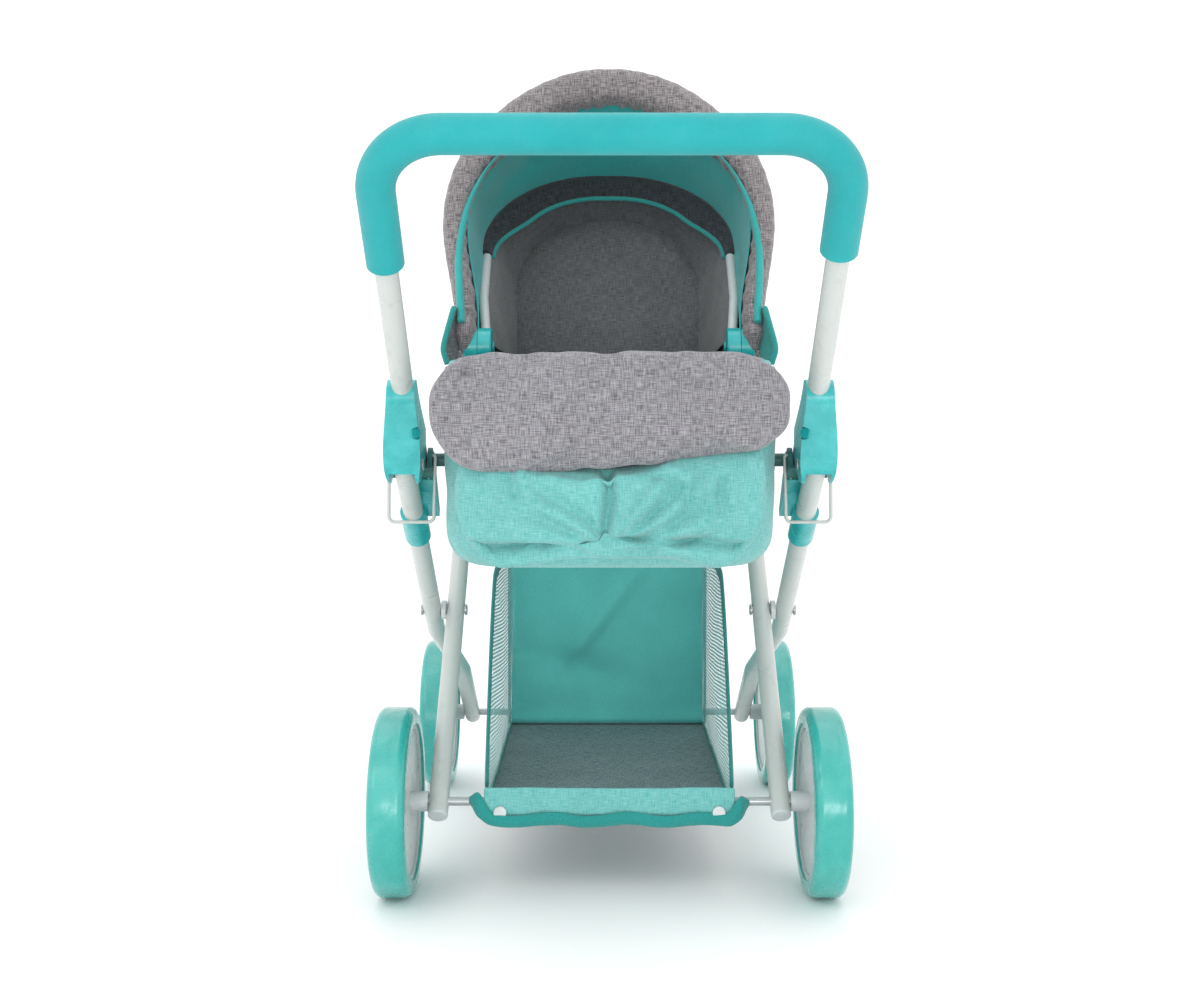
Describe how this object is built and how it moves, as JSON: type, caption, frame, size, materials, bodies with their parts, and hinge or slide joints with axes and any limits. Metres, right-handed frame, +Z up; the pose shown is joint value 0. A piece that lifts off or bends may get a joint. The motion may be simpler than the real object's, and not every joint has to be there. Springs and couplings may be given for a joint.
{
  "type": "doll stroller",
  "caption": "Folding doll stroller with a soft cot, arched hood, foot cover, foam-gripped handle and fabric basket on a crossed tube frame.",
  "frame": {"origin": "on the floor at the middle of the object's length and width", "axes": "+Z up, +Y the way it is pushed, +X to the pusher's right"},
  "size_m": [0.3888, 0.7228, 0.687],
  "materials": {
    "frame_paint": "satin",
    "steel_rod": "satin",
    "teal_tyre": "gloss",
    "white_plastic": "satin",
    "teal_plastic": "satin",
    "dark_teal_plastic": "satin",
    "grip_foam": "matt",
    "grey_fabric": "woven",
    "teal_fabric": "woven",
    "board": "matt"
  },
  "bodies": {
    "front_frame": {"front_leg_left": "frame_paint", "front_leg_right": "frame_paint", "front_leg_plugs": "white_plastic", "axle_front": "steel_rod", "axle_caps_front": "white_plastic", "pivot_bolts": "steel_rod", "pivot_spacers": "teal_plastic", "hinge_pins": "steel_rod", "cot_cradle_left": "dark_teal_plastic", "cot_cradle_right": "dark_teal_plastic", "leg_boot_left": "teal_plastic", "leg_boot_right": "teal_plastic", "cot_fitting_left": "dark_teal_plastic", "cot_fitting_right": "dark_teal_plastic", "cot_shell": "teal_fabric", "foot_cover": "teal_fabric", "foot_muff": "teal_fabric", "cover_flap": "grey_fabric", "base_board": "board", "mattress": "grey_fabric", "backrest": "grey_fabric", "seat_frame": "steel_rod", "hood_hinge_base_left": "teal_plastic", "hood_hinge_base_right": "teal_plastic", "hood_hinge_pins": "steel_rod", "hood_rear_bow": "frame_paint", "hood_canopy": "grey_fabric", "basket": "teal_fabric"},
    "rear_frame": {"rear_leg_left": "frame_paint", "rear_leg_right": "frame_paint", "rear_leg_plugs": "white_plastic", "axle_rear": "steel_rod", "axle_caps_rear": "white_plastic", "basket_snaps": "white_plastic"},
    "handle": {"handle_tube": "frame_paint", "handle_grip": "grip_foam", "handle_plugs": "white_plastic", "hinge_housing_left": "teal_plastic", "hinge_housing_right": "teal_plastic"},
    "hood_bow": {"hood_front_bow": "frame_paint", "hood_hinge_disc_left": "teal_plastic", "hood_hinge_disc_right": "teal_plastic"},
    "bail_left": {"wire_bail_left": "frame_paint"},
    "bail_right": {"wire_bail_right": "frame_paint"},
    "button_left": {"release_button_left": "teal_plastic"},
    "button_right": {"release_button_right": "teal_plastic"},
    "wheel_rear_left": {"tyre_rear_left": "teal_tyre", "rim_rear_left": "white_plastic"},
    "wheel_rear_right": {"tyre_rear_right": "teal_tyre", "rim_rear_right": "white_plastic"},
    "wheel_front_left": {"tyre_front_left": "teal_tyre", "rim_front_left": "white_plastic"},
    "wheel_front_right": {"tyre_front_right": "teal_tyre", "rim_front_right": "white_plastic"}
  },
  "joints": [
    {"name": "frame_fold", "type": "hinge", "parent": "front_frame", "child": "rear_frame", "pos_m": [0, 0.05452, 0.21122], "axis": [1, 0, 0], "range_deg": [0, 70], "deforming": ["basket"]},
    {"name": "handle_fold", "type": "hinge", "parent": "front_frame", "child": "handle", "pos_m": [0, -0.1766, 0.347], "axis": [1, 0, 0], "range_deg": [0, 75]},
    {"name": "hood_fold", "type": "hinge", "parent": "front_frame", "child": "hood_bow", "pos_m": [0, -0.0466, 0.44], "axis": [1, 0, 0], "range_deg": [-26, 0], "deforming": ["hood_canopy"]},
    {"name": "bail_swing_left", "type": "hinge", "parent": "front_frame", "child": "bail_left", "pos_m": [0, -0.1456, 0.353], "axis": [1, 0, 0], "range_deg": [-70, 20]},
    {"name": "bail_swing_right", "type": "hinge", "parent": "front_frame", "child": "bail_right", "pos_m": [0, -0.1456, 0.353], "axis": [1, 0, 0], "range_deg": [-70, 20]},
    {"name": "button_press_left", "type": "slide", "parent": "handle", "child": "button_left", "axis": [-0.6392, 0.769, 0], "range_m": [0, 0.0025], "stiffness_N_per_m": 300, "springref_m": -0.002},
    {"name": "button_press_right", "type": "slide", "parent": "handle", "child": "button_right", "axis": [0.6392, 0.769, 0], "range_m": [0, 0.0025], "stiffness_N_per_m": 300, "springref_m": -0.002},
    {"name": "wheel_spin_rear_left", "type": "hinge", "parent": "rear_frame", "child": "wheel_rear_left", "pos_m": [-0.17, -0.0916, 0.075], "axis": [1, 0, 0], "continuous": true},
    {"name": "wheel_spin_rear_right", "type": "hinge", "parent": "rear_frame", "child": "wheel_rear_right", "pos_m": [0.17, -0.0916, 0.075], "axis": [1, 0, 0], "continuous": true},
    {"name": "wheel_spin_front_left", "type": "hinge", "parent": "front_frame", "child": "wheel_front_left", "pos_m": [-0.175, 0.2864, 0.075], "axis": [1, 0, 0], "continuous": true},
    {"name": "wheel_spin_front_right", "type": "hinge", "parent": "front_frame", "child": "wheel_front_right", "pos_m": [0.175, 0.2864, 0.075], "axis": [1, 0, 0], "continuous": true}
  ]
}
